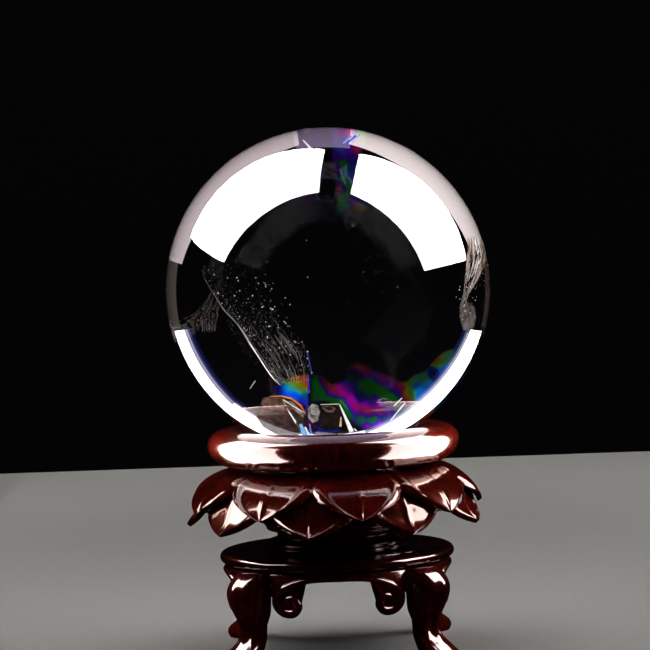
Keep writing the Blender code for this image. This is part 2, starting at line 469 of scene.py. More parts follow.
def kept_inside(points, margin=0.4 * MM):
    """Draws in any point that would lie nearer than margin to the ball's skin."""
    away = points - BALL_CENTRE
    distance = np.linalg.norm(away, axis=-1, keepdims=True)
    return BALL_CENTRE + away * np.minimum(1.0, (BALL_RADIUS - margin) / distance)


# The ball


def ball_profile(rows):
    """Half a circle from pole to pole: radius R cos a, height R sin a above the ball's middle."""
    angle = np.linspace(-math.pi / 2, math.pi / 2, rows)
    radius = BALL_RADIUS * np.cos(angle)
    radius[[0, -1]] = 0
    return np.stack([radius, BALL_CENTRE[2] + BALL_RADIUS * np.sin(angle)], axis=1)


class QUARTZ_OT_ball(bpy.types.Operator):
    """Adds the polished ball"""

    bl_idname = "quartz.ball"
    bl_label = "Ball"

    def execute(self, context):
        points, faces = turned(ball_profile(129), 256)
        make_piece("quartz_ball", points, faces, polished_quartz(), "clear_quartz", ["quartz_sphere"])
        return {"FINISHED"}


# What lies inside the ball: places are pixels of the photograph, depths are millimetres behind the
# plane through the ball's middle, widths are pixels

VEIL_EDGE = (
    (200.5, 266), (204, 277), (210.5, 289), (217, 299), (224, 310), (235, 321.5),
    (243, 332), (250.5, 344.5), (258, 356), (266, 368.5), (273, 378), (280, 385),
)
VEIL_LIMIT = (
    (262, 250), (268, 266), (275, 284), (281, 298), (286, 312), (290, 324),
    (296, 334), (303, 342), (309, 351), (311, 362), (312, 373), (310, 384),
)
# Place, size in pixels and brightness of the veil's larger specks; the brightness is a painted glint that
# they emit
SPECKS = (
    (214, 274.5, 1.6, 0.9), (227.4, 278, 1.3, 0.8), (237, 277.5, 1.5, 1.0), (238.2, 280.5, 1.4, 0.9),
    (255.8, 277.6, 1.8, 0.8), (265.8, 286.6, 1.8, 1.0), (271.6, 288.7, 1.3, 0.8), (256.6, 289, 1.0, 0.7),
    (239.7, 290.8, 1.6, 1.0), (234.7, 296, 1.7, 1.0), (236.5, 300.5, 1.2, 0.7), (252.6, 295.5, 1.6, 0.9),
    (285.3, 297.8, 1.8, 0.9), (290, 305, 1.6, 0.8), (263, 306.6, 1.7, 0.7), (270.5, 308.5, 1.8, 0.8),
    (273, 309.5, 1.9, 0.9), (274.5, 307, 1.3, 0.8), (284.2, 321.6, 1.6, 1.0), (285.6, 323.2, 1.2, 0.9),
    (269, 326.4, 1.9, 1.0), (267.4, 337.6, 1.8, 1.0), (290.5, 354.5, 1.8, 0.9), (306.8, 240.5, 1.5, 0.45),
    (307.7, 277, 1.7, 0.5), (218, 293, 1.8, 0.9), (291, 345, 1.4, 0.8), (295, 341, 1.3, 0.8),
    (296, 342.5, 1.3, 0.8), (302, 342, 1.4, 0.9), (307.7, 351.8, 1.8, 1.0), (307.4, 358.7, 1.6, 1.0),
    (311.6, 372.9, 1.9, 1.0), (310, 364, 1.2, 0.7), (353, 226, 1.5, 0.7), (363, 272, 1.6, 0.4),
    (398, 287, 1.6, 0.4), (267, 262, 1.4, 0.4), (261, 263, 1.3, 0.4), (214, 263, 1.3, 0.4),
)
# Long chips: start, width there, end, width there, depth and colour; the colour is emitted, as painted
# glints and flares
SPLINTERS = (
    (287, 408.6, 0.9, 301.8, 432, 2.4, -6, "#FFFFFF"),
    (283, 400, 0.6, 287, 408.6, 0.8, -6, "#E4DCD8"),
    (339.7, 404.6, 0.8, 351.8, 432, 4.6, -7, "#FFFFFF"),
    (394, 406, 0.8, 402, 398, 0.8, -8, "#F4F2F6"),
    (390, 421, 1.0, 405, 403, 1.2, -9, "#FFFFFF"),
    (303, 140, 1.2, 313, 151, 2.4, -4, "#F6F2FA"),
    (250, 388.7, 0.5, 255.3, 380.8, 0.7, -9, "#D8D4D2"),
    (308.4, 375, 1.0, 308.8, 393, 1.8, -3.5, "#3420C4"),
    (307.2, 352, 1.0, 311.8, 373, 0.8, -2, "#28388C"),
    (270, 396.4, 0.8, 281, 396, 1.2, -7, "#C87838"),
    (281, 396, 1.2, 291.5, 398.6, 1.8, -7, "#E08A34"),
    (291.5, 398.6, 1.8, 300.6, 405.6, 2.2, -7, "#D8641C"),
    (300.6, 405.6, 2.2, 305.6, 414, 1.2, -7, "#B4501C"),
    (283, 399.6, 0.8, 303.5, 412.5, 1.0, -7.5, "#EDE4DC"),
    (341, 417, 0.8, 340.4, 426.5, 2.4, -8, "#F0C8A0"),
    (320.5, 404.6, 0.7, 339.5, 404, 0.7, -7.5, "#C8C4BE"),
    (300.5, 424, 2.6, 307.5, 443, 6.5, -8, "#7CC0FF"),
    (305, 427, 1.6, 312.5, 442, 3.2, -8.5, "#EAF6FF"),
    (309.6, 424, 1.0, 311, 434, 2.0, -8.5, "#4C8CE8"),
    (343, 143.5, 1.6, 351, 136, 2.6, -6, "#8FA6FF"),
    (347, 143.5, 1.4, 356, 135.5, 2.4, -6.5, "#4656DC"),
    (352, 142.5, 1.0, 360, 134, 1.4, -6.2, "#B4C0FF"),
    (354, 428.5, 0.9, 356.5, 431, 1.6, -9, "#E8F0EC"),
    (338, 434, 0.8, 347, 442, 1.2, -9, "#5C4E56"),
)
# Middle line of the feathery crack by the right rim, and the outline of the dull face at its foot
FEATHER = ((475, 236), (477, 252), (475, 266), (471, 280), (467, 292), (463, 304), (461, 316))
FEATHER_TAIL = (
    (460, 307), (464, 303), (470, 302), (475, 307), (476.5, 318), (474, 328), (468, 334), (463, 330),
    (460, 320),
)
# Broad fracture faces: outline, depth, colour, and how far it hides what lies behind; the colour is
# emitted, so it is the plate's own tone and painted light and shade at once
PLATES = (
    (((255, 418), (261, 401), (264.5, 396.5), (280, 396), (292, 400), (304, 414), (306, 432),
      (296, 440), (276, 436), (262, 428)), -6.0, "#3E2A26", 0.94),
    (((263, 397), (280, 396.5), (288, 400), (297, 409), (284, 413), (268, 409), (260, 405)),
     -6.6, "#7A5A50", 0.55),
    (((286, 401), (292, 401), (305, 414), (303.5, 418), (295, 411)), -7.0, "#A89A94", 0.7),
    (((307.5, 409), (312, 403.5), (318, 405), (320.5, 412), (318, 421), (312.5, 423.5), (308, 418)),
     -7.4, "#A69E98", 0.9),
    (((320.5, 413), (322, 405.5), (331, 404.5), (339.5, 405), (345, 418), (342, 428), (331, 431),
      (321, 427)), -7.2, "#1A100C", 0.96),
    (((321, 407), (330, 405.5), (336, 408), (334, 413), (326, 412)), -7.3, "#8C7468", 0.45),
    (((313, 425), (318, 430), (328, 431), (340, 428.5), (343, 431), (331, 433.5), (317, 433)),
     -7.8, "#0A1C60", 0.9),
    (((313, 432.5), (318, 431), (336, 433.5), (345, 440), (349, 447), (318, 447)), -9.0, "#A094AC", 0.92),
    (((337, 433.5), (342, 432.5), (353, 444), (349, 447)), -9.1, "#D0B8B0", 0.85),
    (((246, 246), (254, 243), (262, 251), (264, 262), (257, 261), (249, 254)), 2.0, "#161619", 0.3),
)
# The air film's three sheets: place, thickness in nanometres and strength of the painted interference glow
# at chosen points, and then the two edges of each sheet
FILM_LEFT = (
    (273, 388, 290, 0.04), (279, 390, 305, 0.12), (286, 391, 336, 0.95), (292, 388, 366, 0.35),
    (298, 386, 402, 0.16), (297, 380, 462, 0.20), (303, 378, 482, 0.20), (306, 376, 492, 0.22),
    (290, 379, 445, 0.06), (284, 384, 350, 0.16), (296, 396, 318, 0.90), (302, 401, 300, 0.50),
    (303, 390, 415, 0.14), (306, 385, 490, 0.22), (305, 396, 330, 0.20), (289, 396, 322, 0.80),
    (282, 395, 312, 0.30), (276, 394, 290, 0.08), (300, 383, 462, 0.20), (284, 377, 440, 0.0),
    (274, 383, 300, 0.0), (292, 374, 460, 0.02), (302, 373, 485, 0.05),
)
FILM_RIGHT = (
    (312, 374, 640, 0.01), (316, 384, 650, 0.035), (321, 391, 655, 0.04), (312, 395, 650, 0.03),
    (325, 380, 490, 0.02), (329, 387, 495, 0.06), (335, 393, 508, 0.16), (343, 392, 516, 0.28),
    (351, 403, 518, 0.38), (355, 410, 512, 0.32), (366, 408, 518, 0.30), (377, 406, 524, 0.28),
    (390, 410, 532, 0.20), (348, 387, 545, 0.08), (353, 384, 562, 0.03), (361, 396, 568, 0.03),
    (373, 401, 566, 0.05), (388, 405, 562, 0.07), (362, 386, 645, 0.02), (372, 384, 655, 0.022),
    (382, 392, 660, 0.028), (392, 398, 652, 0.07), (368, 392, 645, 0.025), (398, 402, 640, 0.05),
    (376, 377, 560, 0.03), (388, 384, 560, 0.045), (397, 391, 556, 0.05), (368, 370, 520, 0.025),
    (382, 377, 518, 0.05), (392, 380, 510, 0.065), (401, 387, 500, 0.07), (405, 396, 494, 0.08),
    (352, 364, 480, 0.01), (360, 366, 484, 0.05), (367, 367, 490, 0.04), (409, 381, 405, 0.03),
    (409, 393, 395, 0.05), (414, 377, 392, 0.03), (423, 378, 385, 0.03), (418, 385, 345, 0.06),
    (426, 387, 336, 0.16), (421, 392, 336, 0.45), (433, 372, 305, 0.03), (440, 363, 388, 0.05),
    (446, 358, 395, 0.05), (437, 361, 486, 0.03), (444, 370, 330, 0.20), (333, 400, 652, 0.045),
    (340, 404, 652, 0.06), (346, 411, 655, 0.09), (350, 417, 650, 0.10), (360, 416.5, 645, 0.12),
    (360, 412, 492, 0.16), (370, 413, 486, 0.14), (384, 413, 500, 0.16), (360, 421, 640, 0.14),
    (372, 419, 650, 0.16), (386, 417, 640, 0.18), (395, 410, 620, 0.16), (366, 427, 536, 0.45),
    (378, 426, 532, 0.65), (390, 423, 530, 0.60), (355, 420, 548, 0.20), (330, 374, 500, 0.0),
    (345, 358, 480, 0.0), (340, 376, 560, 0.0), (356, 374, 600, 0.002), (380, 367, 500, 0.0),
    (400, 377, 500, 0.0), (420, 368, 400, 0.0), (352, 378, 640, 0.006),
)
FILM_GAP = (
    (333, 128, 548, 0.12), (342, 128, 520, 0.16), (351, 128, 505, 0.55), (361, 132, 655, 0.20),
    (364, 142, 645, 0.16), (357, 147, 500, 0.12), (348, 147, 555, 0.12), (342, 149, 600, 0.16),
    (337, 155, 560, 0.04), (350, 158, 565, 0.05), (344, 165, 640, 0.03), (352, 168, 590, 0.05),
    (337, 172, 505, 0.03), (341, 176, 655, 0.04), (349, 176, 588, 0.11), (346, 184, 640, 0.03),
    (339, 188, 500, 0.03), (345, 197, 650, 0.03), (353, 200, 560, 0.025), (345, 207, 640, 0.03),
    (357, 205, 495, 0.03), (362, 209, 430, 0.02), (350, 212, 560, 0.01), (362, 196, 560, 0.0),
)
FILM_LEFT_EDGES = (
    ((270, 388), (280, 381), (290, 376), (300, 373.5), (308.6, 373)),
    ((272, 393), (281, 397), (290, 399), (299, 404), (308.6, 410)),
)
FILM_RIGHT_EDGES = (
    ((309, 372), (322, 375), (333, 383), (344, 371), (352, 361), (364, 363), (378, 369), (392, 375),
     (405, 380), (414, 374), (426, 368), (436, 357), (446, 350), (456, 348)),
    ((309, 403), (322, 402), (332, 404), (342, 412), (352, 424), (362, 430), (374, 431), (386, 428),
     (397, 421), (407, 412), (417, 404), (428, 395), (440, 384), (455, 366)),
)
FILM_GAP_EDGES = (
    ((331, 126), (331, 140), (331, 156), (333, 172), (335, 190), (338, 214)),
    ((368, 128), (367, 142), (360, 156), (357, 172), (357, 190), (372, 214)),
)


def towards_camera(points):
    """Unit directions from these points to the camera."""
    away = np.array(CAMERA_PLACE) - points
    return away / np.linalg.norm(away, axis=-1, keepdims=True)


def chips(centres, sizes, rng, tilt=0.8):
    """Four-cornered chips about their centres. Each lies square to a direction that is the viewer's
    plus a random one times tilt, and its corners are 0.45 to 1 times its size from its centre."""
    count = len(centres)
    facing = towards_camera(centres) + tilt * rng.normal(size=(count, 3))
    facing /= np.linalg.norm(facing, axis=1, keepdims=True)
    one = np.cross(facing, rng.normal(size=(count, 3)))
    one /= np.linalg.norm(one, axis=1, keepdims=True)
    two = np.cross(facing, one)
    angle = (np.arange(4) + rng.uniform(-0.3, 0.3, (count, 4))) * math.pi / 2
    reach = np.asarray(sizes)[:, None] * rng.uniform(0.45, 1.0, (count, 4))
    spread = one[:, None] * (np.cos(angle) * reach)[..., None]
    spread = spread + two[:, None] * (np.sin(angle) * reach)[..., None]
    return centres[:, None] + spread, np.arange(4 * count).reshape(count, 4)


def painted(shades, times):
    """Emitted colours, painted light for the inclusions, each given to this many points in a row."""
    return np.repeat(np.atleast_2d(shades), times, axis=0)


def inclusion(name, points, faces, material, smooth=True, **values):
    """Adds a piece inside the ball, with these named values at its points."""
    make_piece(name, points, faces, material, "clear_quartz", smooth=smooth, values=values)


def strip(pixels, widths, behind):
    """A ribbon along a row of pixels, its width in pixels laid off square to the row."""
    pixels = np.asarray(pixels, float)
    along = np.gradient(pixels, axis=0)
    along /= np.linalg.norm(along, axis=1, keepdims=True)
    side = np.stack([-along[:, 1], along[:, 0]], axis=1) * np.asarray(widths, float)[:, None] / 2
    rows = np.stack([pixels - side, pixels, pixels + side], axis=1)
    depth = np.broadcast_to(np.asarray(behind, float)[..., None], rows.shape[:2])
    return inside_ball(rows, depth * MM), grid_faces(len(pixels), 3, False)


def plate(name, outline, behind, colour, cover, material):
    """A shallow dished face: the straight-sided outline is drawn in towards its middle in rings, and
    the middle lies 1 mm deeper than the edge by 1 - k^2. Its strength falls close to the edge."""
    rings, columns = 11, 72
    closed = np.array([*outline, outline[0]], float)
    place = np.linspace(0, len(outline), columns, endpoint=False)
    corner = place.astype(int)
    loop = closed[corner] + (closed[corner + 1] - closed[corner]) * (place - corner)[:, None]
    middle = loop.mean(axis=0)
    k = np.linspace(0, 1, rings)[:, None, None]
    points = inside_ball(middle + (loop - middle) * k, (behind + 1 - k[..., 0] ** 2) * MM)
    strength = cover * np.broadcast_to(np.clip((1 - k[..., 0]) / 0.10, 0, 1), points.shape[:2])
    faces = grid_faces(rings, columns, True)
    tint = painted(rgba(colour), strength.size)
    inclusion(name, kept_inside(points), faces, material, strength=strength, tint=tint)


def spread_values(pixels, table, reach):
    """The table's values at any pixel: their average, weighted by exp(-(distance / reach)^2)."""
    table = np.asarray(table, float)
    square = ((pixels[..., None, :] - table[:, :2]) ** 2).sum(-1)
    weight = np.exp(-(square - square.min(-1, keepdims=True)) / reach**2)
    weight /= weight.sum(-1, keepdims=True)
    return weight @ table[:, 2:]


def film_sheet(name, edges, table, depths, material, columns=150):
    """A thin air gap drawn between two edges, with the table's thickness and strength at its points.
    The strength falls to nothing within a twelfth of the sheet's width of its border."""
    rows = 50
    u, v = np.meshgrid(np.linspace(0, 1, columns), np.linspace(0, 1, rows), indexing="ij")
    first, second = (curve_at(edge, u) for edge in edges)
    pixels = first + (second - first) * v[..., None]
    behind = depths[0] + (depths[1] - depths[0]) * v + 0.8 * np.sin(6 * u)
    values = spread_values(pixels, table, 4.5)
    border = np.clip(np.minimum.reduce([u * 30, (1 - u) * 30, v * 9, (1 - v) * 9]), 0, 1)
    points = kept_inside(inside_ball(pixels, behind * MM))
    strength = values[..., 1] * border * border * (3 - 2 * border)
    faces = grid_faces(columns, rows, False)
    inclusion(name, points, faces, material, film=values[..., 0], strength=strength)


def fracture_glints_painted(glow):
    """Fresh fracture chips with a painted white sparkle: they emit their colour, uneven along each, as
    painted glints in place of light thrown back inside the stone.
    """
    kept = bpy.data.materials.get("fracture_glints_painted")
    if kept:
        return kept
    material, tree = new_material("fracture_glints_painted")
    tint = add(tree, "Attribute", attribute_name="tint").outputs["Color"]
    place = add(tree, "TexCoord").outputs["Object"]
    uneven = add(tree, "TexNoise", {"Vector": place, "Scale": lumps(0.5), "Detail": 3.0})
    level = add(tree, "MapRange", {"Value": uneven.outputs["Fac"], "To Min": 0.35, "To Max": 1.6})
    shade = add(tree, "VectorMath", {0: tint, "Scale": level.outputs["Result"]}, operation="SCALE")
    shader = add(
        tree,
        "BsdfPrincipled",
        {
            "Base Color": rgba("#3C3836"),
            "Roughness": 0.25,
            # Painted glint: the chips emit their colour
            "Emission Color": shade.outputs[0],
            "Emission Strength": glow,
        },
    )
    return finished(material, shader.outputs["BSDF"])


def smoky_glowing_plates(glow):
    """Shell-shaped fracture faces: thin smoky brown and grey, with fine curved ridges and mottles. The
    brown and grey is emitted, so it is the plates' own tone and painted light at once.
    """
    material, tree = new_material("smoky_fracture_plates_painted_glow")
    tint = add(tree, "Attribute", attribute_name="tint").outputs["Color"]
    strength = add(tree, "Attribute", attribute_name="strength").outputs["Fac"]
    place = add(tree, "TexCoord").outputs["Object"]
    # Rings 0.45 mm apart: a wave of scale 1 has one every 0.314
    ring_scale = 0.314 / (0.45 * MM)
    moved = add(tree, "Mapping", {"Vector": place, "Location": (0.012, 0.0, -0.035)})
    ridges = add(
        tree,
        "TexWave",
        {"Vector": moved.outputs["Vector"], "Scale": ring_scale, "Distortion": 2.5, "Detail": 3.0},
        wave_type="RINGS",
        rings_direction="SPHERICAL",
    )
    mottles = add(tree, "TexNoise", {"Vector": place, "Scale": lumps(0.7), "Detail": 5.0})
    layers = {0: ridges.outputs["Fac"], 1: 0.10, 2: mottles.outputs["Fac"]}
    both = add(tree, "Math", layers, operation="MULTIPLY_ADD")
    # Painted highlight and shade: the ridges and mottles raise and lower the emitted colour
    level = add(
        tree,
        "MapRange",
        {"Value": both.outputs[0], "From Min": 0.38, "From Max": 0.72, "To Min": 0.12, "To Max": 1.7},
    )
    shade = add(tree, "VectorMath", {0: tint, "Scale": level.outputs["Result"]}, operation="SCALE")
    shader = add(
        tree,
        "BsdfPrincipled",
        {
            "Base Color": rgba("#1E1814"),
            "Roughness": 0.3,
            "Specular IOR Level": 0.0,
            "Emission Color": shade.outputs[0],
            "Emission Strength": glow * 0.8,
            "Alpha": strength,
        },
    )
    return finished(material, shader.outputs["BSDF"])


def glowing_healed_haze(colour, glow):
    """A healed crack: a barely seen grey mist of tiny cavities, gathered in patches. The mist emits its
    colour as painted light, in place of light that the cavities would scatter.
    """
    material, tree = new_material("healed_crack_painted_glow")
    strength = add(tree, "Attribute", attribute_name="strength").outputs["Fac"]
    place = add(tree, "TexCoord").outputs["Object"]
    specks = add(tree, "TexNoise", {"Vector": place, "Scale": lumps(0.3), "Detail": 6.0})
    clouds = add(tree, "TexNoise", {"Vector": place, "Scale": lumps(2.2), "Detail": 3.0})
    grains = add(tree, "MapRange", {"Value": specks.outputs["Fac"], "From Min": 0.52, "From Max": 0.72})
    patches = add(tree, "MapRange", {"Value": clouds.outputs["Fac"], "From Min": 0.38, "From Max": 0.68})
    product = {0: grains.outputs["Result"], 1: patches.outputs["Result"]}
    both = add(tree, "Math", product, operation="MULTIPLY")
    cover = add(tree, "Math", {0: both.outputs[0], 1: strength}, operation="MULTIPLY")
    shade = ramp(tree, specks.outputs["Fac"], [(0.5, linear("#5C4C46")), (0.75, colour)])
    clear = add(tree, "BsdfTransparent")
    # Painted light: the mist emits its colour
    mist = add(tree, "Emission", {"Color": shade, "Strength": glow * 0.8})
    layers = {"Fac": cover.outputs[0], 1: clear.outputs["BSDF"], 2: mist.outputs["Emission"]}
    mix = add(tree, "MixShader", layers)
    return finished(material, mix.outputs["Shader"])


def rainbow_film(glow):
    """Painted reflection of light between the two faces of a crack: the film emits its colours whatever the
    lamps do. Each of red, green and blue has the brightness sin^4(2 pi d / wavelength) for a gap of d
    nanometres, which is read at the points and unsettled a little by noise; the strength at the points
    scales it."""
    material, tree = new_material("painted_interference_glow")
    film = add(tree, "Attribute", attribute_name="film").outputs["Fac"]
    strength = add(tree, "Attribute", attribute_name="strength").outputs["Fac"]
    place = add(tree, "TexCoord").outputs["Object"]
    waver = add(tree, "TexNoise", {"Vector": place, "Scale": lumps(1.6), "Detail": 4.0})
    shift = add(tree, "MapRange", {"Value": waver.outputs["Fac"], "To Min": -16.0, "To Max": 16.0})
    gap = add(tree, "Math", {0: film, 1: shift.outputs["Result"]}, operation="ADD")
    parts = []
    for wavelength in (630.0, 540.0, 450.0):
        turn = add(tree, "Math", {0: gap.outputs[0], 1: math.tau / wavelength}, operation="MULTIPLY")
        wave = add(tree, "Math", {0: turn.outputs[0]}, operation="SINE")
        power = add(tree, "Math", {0: wave.outputs[0], 1: 4.0}, operation="POWER")
        parts.append(power.outputs[0])
    colour = add(tree, "CombineColor", dict(enumerate(parts)))
    power = add(tree, "Math", {0: strength, 1: glow}, operation="MULTIPLY")
    light = add(tree, "Emission", {"Color": colour.outputs["Color"], "Strength": power.outputs[0]})
    clear = add(tree, "BsdfTransparent")
    both = add(tree, "AddShader", {0: clear.outputs["BSDF"], 1: light.outputs["Emission"]})
    return finished(material, both.outputs["Shader"])


def veil_pixels(s, t):
    """The pixel at s along the veil and t across it, from its near edge to its far limit."""
    edge, limit = curve_at(VEIL_EDGE, s), curve_at(VEIL_LIMIT, s)
    return edge + (limit - edge) * t[..., None]


def veil_depth(s, t):
    """Millimetres behind the ball's middle: 7 before it at the near edge, 9 behind it at the far
    limit, with a wave of 1 mm."""
    return -7 + 16 * t + np.sin(5 * s + 3 * t)


def veil_place(s, t):
    """The point of the veil at s along it and t across it, inside the ball."""
    return kept_inside(inside_ball(veil_pixels(s, t), veil_depth(s, t) * MM))


def add_veil_mist(material):
    """The veil's sheet, which emits painted light. Its strength grows along it, fades at its far limit and
    its end, and has a bright near edge, a painted highlight, that falls as exp(-(t / 0.1)^2)."""
    s, t = np.meshgrid(np.linspace(0, 1, 140), np.linspace(0, 1, 50), indexing="ij")
    body = np.clip((s - 0.35) / 0.3, 0.12, 1) * np.clip((1 - t) * 4, 0, 1) * np.clip((1 - s) * 14, 0, 1)
    near = 1.4 * np.exp(-((t / 0.10) ** 2))
    strength = np.clip(body + near * np.clip(s * 4, 0, 1), 0, 1.6) * 0.62
    inclusion("veil_haze", veil_place(s, t), grid_faces(140, 50, False), material, strength=strength)


def add_veil_flecks(count, material, rng):
    """Chips all over the veil, half of them close to its near edge, and few of them bright: each emits a
    painted glint from dim brown to white.
    """
    s = np.concatenate([rng.beta(2.4, 1.3, count // 2), rng.uniform(0.02, 1, count - count // 2)])
    t = np.where(rng.uniform(size=count) < 0.5, rng.beta(0.8, 6, count), rng.uniform(0, 1, count))
    glint = rng.uniform(0, 1, count) ** 5
    size = (0.04 + 0.10 * glint * rng.uniform(0.4, 1, count)) * MM
    points, faces = chips(veil_place(s, t), size, rng)
    # Painted glint: the flecks emit a colour from dim brown to white, bluer in one patch
    dim, bright = rgba("#3A322F"), rgba("#FFF4F0")
    shade = dim + (bright - dim) * glint[:, None]
    cool = (s > 0.36) & (s < 0.5) & (t < 0.3)
    shade[cool] *= np.array([0.85, 0.9, 1.3, 1])
    inclusion("veil_flecks", points, faces, material, smooth=False, tint=painted(shade, 4))


def add_lone_specks(material, rng):
    """Two chips at each place of the table, turned two ways; each emits the table's brightness as a painted
    glint.
    """
    table = np.repeat(np.array(SPECKS), 2, axis=0)
    pixels = table[:, :2] + rng.normal(0, 0.25, (len(table), 2))
    centres = inside_ball(pixels, rng.uniform(-4, 3, len(table)) * MM)
    points, faces = chips(centres, table[:, 2] * 0.10 * MM, rng, 0.45)
    shade = rgba("#FFFAF8") * table[:, 3:] ** 2 * 0.62
    inclusion("lone_specks", points, faces, material, smooth=False, tint=painted(shade, 4))


def add_veil_threads(material, rng):
    """A ribbon along the veil's near edge, wide and bright in places, and 34 fine threads that run
    beside it and end in points. All emit their brightness as painted highlights."""
    s = np.linspace(0.04, 1, 120)
    places = [0, 0.25, 0.3, 0.42, 0.47, 0.55, 0.66, 0.7, 0.92, 1]
    wide = np.interp(s, places, [0.25, 0.5, 0.9, 0.9, 0.6, 1.6, 1.6, 1.0, 1.1, 0.5])
    edge_highlight = np.interp(s, [0, 0.2, 0.5, 0.6, 0.68, 0.9, 1], [0.02, 0.10, 0.25, 0.36, 1.0, 1.0, 0.4])
    parts = [strip(curve_at(VEIL_EDGE, s), wide, veil_depth(s, 0))]
    shades = [painted(rgba("#FFF2F2") * edge_highlight[:, None], 3)]
    for _ in range(34):
        start, across = rng.uniform(0.5, 0.86), rng.uniform(0.04, 0.8)
        s = np.linspace(start, min(start + rng.uniform(0.08, 0.32), 0.99), 24)
        t = across + 0.05 * (s - start) + 0.006 * np.sin(40 * s + across * 30)
        wide = rng.uniform(0.2, 0.5) * np.sin(np.linspace(0.2, math.pi - 0.2, 24))
        parts.append(strip(veil_pixels(s, t), wide, veil_depth(s, t)))
        shades.append(painted(rgba("#F2E4DE") * rng.uniform(0.04, 0.26), 72))
    points, faces = merged(parts)
    inclusion("veil_threads", points, faces, material, tint=np.concatenate(shades))


class QUARTZ_OT_veil(bpy.types.Operator):
    """Adds the veil: its mist, flecks, bright edge, threads and larger specks"""

    bl_idname = "quartz.veil"
    bl_label = "Veil"

    def execute(self, context):
        settings = context.scene.quartz_sphere
        sparkle = fracture_glints_painted(settings.inclusion_glow)
        rng = np.random.default_rng(11)
        add_veil_mist(glowing_healed_haze(tuple(settings.veil_colour), settings.inclusion_glow))
        add_veil_flecks(settings.fleck_count, sparkle, rng)
        add_lone_specks(sparkle, rng)
        add_veil_threads(sparkle, rng)
        return {"FINISHED"}


def add_splinters(material):
    """Long flat chips: ribbons along straight lines, whose widths change evenly end to end; each emits its
    listed colour as a painted glint or flare.
    """
    parts, shades = [], []
    for x0, y0, w0, x1, y1, w1, behind, colour in SPLINTERS:
        k = np.linspace(0, 1, 12)
        pixels = np.stack([x0 + (x1 - x0) * k, y0 + (y1 - y0) * k], axis=1)
        parts.append(strip(pixels, w0 + (w1 - w0) * k, behind + k))
        shades.append(painted(rgba(colour), 36))
    points, faces = merged(parts)
    inclusion("splinters", kept_inside(points), faces, material, tint=np.concatenate(shades))


def add_rim_feather(material, rng):
    """190 barbs laid beside the feather's middle line, brighter towards its top, and 240 chips
    scattered among them. White and brown barbs are mixed. All emit their colour as painted glints."""
    parts, shades = [], []
    for _ in range(190):
        top, length = 0.8 * rng.uniform(0, 1) ** 1.5, rng.uniform(0.06, 0.22)
        k = np.clip(np.linspace(top, top + length, 16), 0, 1)
        middle = curve_at(FEATHER, k)
        half = np.interp(k, [0, 0.2, 0.45, 0.7, 1], [7, 10, 7, 2.5, 1.5])
        offset = rng.uniform(-1, 1)
        middle[:, 0] += offset * half + 3 * offset * (k - top) + rng.normal(0, 0.3, 16)
        wide = rng.uniform(0.25, 0.9) * np.sin(np.linspace(0.25, math.pi - 0.25, 16)) * (1.3 - top)
        parts.append(strip(middle, wide, np.full(16, rng.uniform(-6, -3))))
        warm = np.array([1, 0.93, 0.9, 1] if rng.uniform() < 0.7 else [0.7, 0.38, 0.24, 1])
        shades.append(painted(warm * rng.uniform(0.2, 1.0) ** 2 * (1.7 - 1.7 * top), 48))
    k = rng.uniform(0.05, 1, 240)
    spread = np.stack([np.interp(k, [0, 0.3, 0.6, 1], [7, 7, 5, 4]), np.full(240, 3.0)], axis=1)
    spots = curve_at(FEATHER, k) + [3, 0] + rng.normal(0, 1, (240, 2)) * spread
    centres = inside_ball(spots, rng.uniform(-6, -3, 240) * MM)
    glint = rng.uniform(0, 1, 240) ** 2
    parts.append(chips(centres, (0.05 + 0.16 * glint) * MM, rng))
    shades.append(painted(rgba("#F4E6DE") * (0.1 + 0.9 * glint[:, None]), 4))
    points, faces = merged(parts)
    inclusion("rim_feather", kept_inside(points), faces, material, tint=np.concatenate(shades))


class QUARTZ_OT_cracks(bpy.types.Operator):
    """Adds the fracture plates, the splinters and the feather at the rim"""

    bl_idname = "quartz.cracks"
    bl_label = "Cracks"

    def execute(self, context):
        glow = context.scene.quartz_sphere.inclusion_glow
        plates, sparkle = smoky_glowing_plates(glow), fracture_glints_painted(glow)
        for number, row in enumerate(PLATES, 1):
            plate("fracture_plate_%d" % number, *row, plates)
        add_splinters(sparkle)
        add_rim_feather(sparkle, np.random.default_rng(5))
        # The dull face at the feather's foot emits this grey: its own tone and painted light at once
        plate("rim_feather_tail", FEATHER_TAIL, -4, "#786E6C", 0.75, plates)
        return {"FINISHED"}


class QUARTZ_OT_rainbow(bpy.types.Operator):
    """Adds the rainbow films low in the ball and under its top"""

    bl_idname = "quartz.rainbow"
    bl_label = "Rainbow film"

    def execute(self, context):
        film = rainbow_film(context.scene.quartz_sphere.inclusion_glow)
        film_sheet("rainbow_film_left", FILM_LEFT_EDGES, FILM_LEFT, (0, -4), film)
        film_sheet("rainbow_film_right", FILM_RIGHT_EDGES, FILM_RIGHT, (3, -9), film, columns=220)
        film_sheet("rainbow_film_top", FILM_GAP_EDGES, FILM_GAP, (-6, -3), film)
        return {"FINISHED"}


# The stand


def wood(name, context):
    """The stand's wood of this name, made the first time in the panel's colours. The dark one is a
    shaded copy of the same wood for the recessed waist and board: its light grain has 0.45 times the
    brightness, as painted shade."""
    settings = context.scene.lotus_stand
    existing = bpy.data.materials.get(name)
    if existing:
        return existing
    dark, light = tuple(settings.lacquer_dark), tuple(settings.lacquer_light)
    # Painted shade: the darker copy of the same wood
    if name.startswith("dark"):
        light = tuple(c * 0.45 for c in light)
    return lacquered_wood(name, dark, light)


# Gap between the ball and the ring's dish, and the height of the roll's upper half in its radii
DISH_GAP = 0.8 * MM
ROLL_RISE = 0.70


